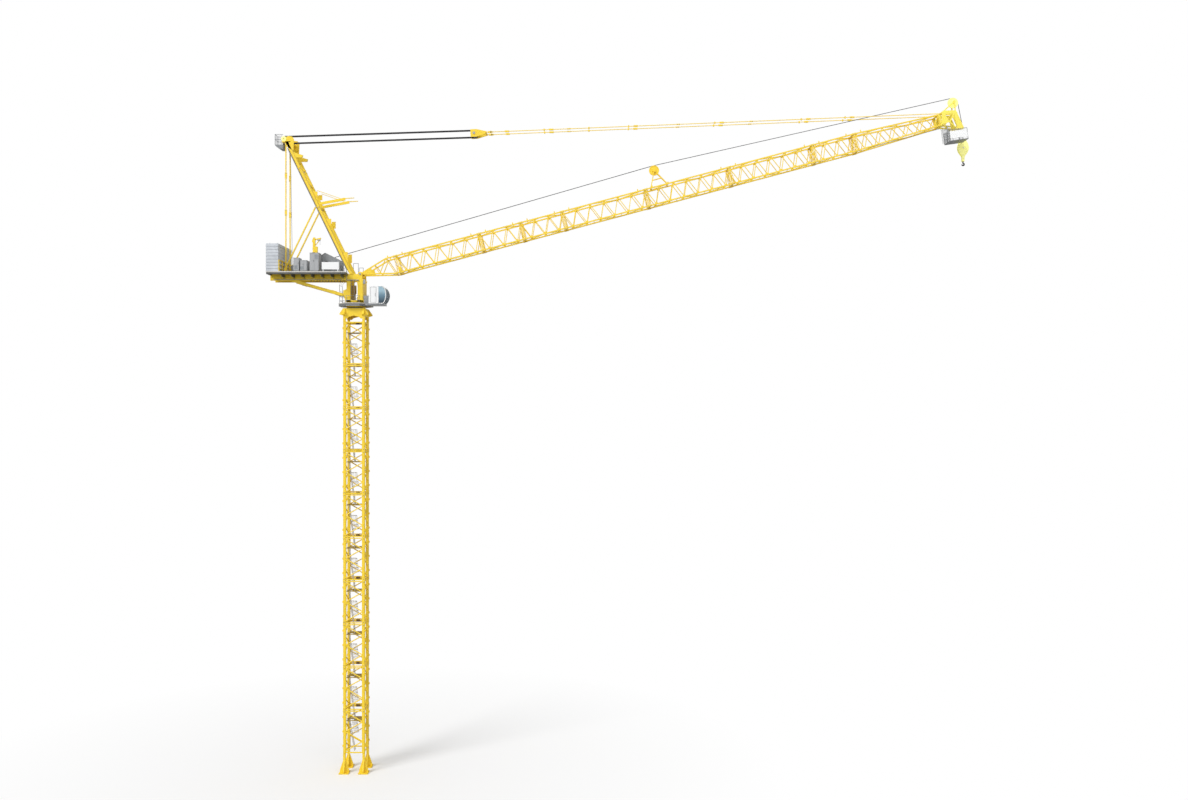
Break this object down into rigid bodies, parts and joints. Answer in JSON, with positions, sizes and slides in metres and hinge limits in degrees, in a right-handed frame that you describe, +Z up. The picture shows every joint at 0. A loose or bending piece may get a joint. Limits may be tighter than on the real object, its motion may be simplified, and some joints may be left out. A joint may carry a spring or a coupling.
{
  "type": "tower crane with luffing jib, one-tenth scale model",
  "caption": "Yellow lattice tower crane with a luffing jib, cab, counter-jib with ballast slabs, A-frame, rope tackle and hook, as a one-tenth scale model.",
  "frame": {"origin": "on the ground at the middle of the mast's four feet, on the slewing axis", "axes": "+Z up along the mast and slewing axis, +X the way the jib points at rest, +Y to the crane's left"},
  "size_m": [8.1228, 0.56, 7.8454],
  "materials": {
    "yellow_paint": "satin",
    "white_paint": "satin",
    "pale_yellow": "satin",
    "machine_grey": "satin",
    "galvanised": "matte",
    "dark_steel": "satin",
    "concrete": "matte",
    "glass": "gloss",
    "black_rope": "satin",
    "steel_rope": "satin"
  },
  "bodies": {
    "mast": {"mast_feet": "yellow_paint", "mast_front_side": "yellow_paint", "mast_back_side": "yellow_paint", "mast_left_side": "yellow_paint", "mast_right_side": "yellow_paint", "mast_ladders": "galvanised", "mast_landings": "yellow_paint", "mast_head": "yellow_paint", "slewing_ring": "dark_steel"},
    "luffing_falls": {"luffing_ropes": "black_rope"},
    "pendants": {"travelling_block": "dark_steel", "pendant_bars": "yellow_paint"},
    "rope_back_run": {"hoist_rope_back": "steel_rope"},
    "mid_wheel": {"mid_sheave": "yellow_paint"},
    "top_wheel": {"top_sheave": "pale_yellow"},
    "jib": {"jib_foot": "yellow_paint", "jib_section_1": "yellow_paint", "jib_section_2": "yellow_paint", "jib_section_3": "yellow_paint", "jib_section_4": "yellow_paint", "jib_section_5": "yellow_paint", "jib_section_6": "yellow_paint", "jib_section_7": "yellow_paint", "jib_tip_section": "yellow_paint", "sheave_stand": "yellow_paint", "jib_head": "yellow_paint", "tip_platform": "galvanised", "tip_board": "white_paint", "hoist_rope_front": "steel_rope"},
    "nose_wheel": {"nose_sheave": "yellow_paint", "hoist_fall": "steel_rope"},
    "hook_block": {"hook_block": "pale_yellow"},
    "hook": {"hook": "dark_steel"},
    "upperworks": {"a_frame_basket": "galvanised", "a_frame_head": "yellow_paint", "a_frame_ladder": "galvanised", "a_frame_legs": "yellow_paint", "a_frame_struts": "yellow_paint", "a_frame_ties": "yellow_paint", "backstops": "yellow_paint", "cab_base": "machine_grey", "cab_glass": "glass", "cab_guard": "dark_steel", "cab_shell": "white_paint", "counter_jib_beams": "yellow_paint", "counter_jib_deck": "galvanised", "counterweight_frame": "yellow_paint", "counterweights": "concrete", "head_sheaves": "dark_steel", "luffing_lead_rope": "steel_rope", "machine_cabinets": "machine_grey", "machinery_board": "white_paint", "service_crane": "yellow_paint", "slewing_gear": "machine_grey", "slewing_tower": "yellow_paint", "slewing_walkway": "galvanised", "turntable": "yellow_paint", "walkway_rails": "galvanised", "winch_guard": "machine_grey", "winches": "machine_grey"}
  },
  "joints": [
    {"name": "slew", "type": "hinge", "parent": "mast", "child": "upperworks", "pos_m": [0, 0, 5.3925], "axis": [0, 0, 1], "continuous": true},
    {"name": "luff", "type": "hinge", "parent": "upperworks", "child": "jib", "pos_m": [0.068, 0, 5.777], "axis": [0, -1, 0], "range_deg": [0, 68]},
    {"name": "falls_swing", "type": "hinge", "parent": "upperworks", "child": "luffing_falls", "pos_m": [-0.808, 0, 7.351], "axis": [0, -1, 0], "range_deg": [0, 71.5], "deforming": ["luffing_ropes"]},
    {"name": "pendant_swing", "type": "hinge", "parent": "jib", "child": "pendants", "pos_m": [6.82893, 0, 7.64528], "axis": [0, -1, 0], "range_deg": [0, 3]},
    {"name": "rope_swing", "type": "hinge", "parent": "upperworks", "child": "rope_back_run", "pos_m": [-0.326, 0, 5.905], "axis": [0, -1, 0], "range_deg": [0, 68], "deforming": ["hoist_rope_back"]},
    {"name": "mid_wheel_spin", "type": "hinge", "parent": "jib", "child": "mid_wheel", "pos_m": [3.478, 0, 6.99684], "axis": [0, -1, 0], "continuous": true},
    {"name": "top_wheel_spin", "type": "hinge", "parent": "jib", "child": "top_wheel", "pos_m": [6.96654, 0, 7.78537], "axis": [0, -1, 0], "continuous": true},
    {"name": "fall_level", "type": "hinge", "parent": "jib", "child": "nose_wheel", "pos_m": [7.06448, 0, 7.4834], "axis": [0, -1, 0], "range_deg": [-68, 0]},
    {"name": "hoist", "type": "slide", "parent": "nose_wheel", "child": "hook_block", "axis": [0, 0, -1], "range_m": [0, 6.9], "deforming": ["hoist_fall"]},
    {"name": "hook_swivel", "type": "hinge", "parent": "hook_block", "child": "hook", "pos_m": [7.08478, 0, 7.15], "axis": [0, 0, 1], "continuous": true}
  ],
  "couplings": [
    {"joint": "falls_swing", "follows": "luff", "ratio": 1.0419},
    {"joint": "pendant_swing", "follows": "luff", "ratio": 0.03529},
    {"joint": "rope_swing", "follows": "luff", "ratio": 0.9586},
    {"joint": "fall_level", "follows": "luff", "ratio": -1}
  ]
}
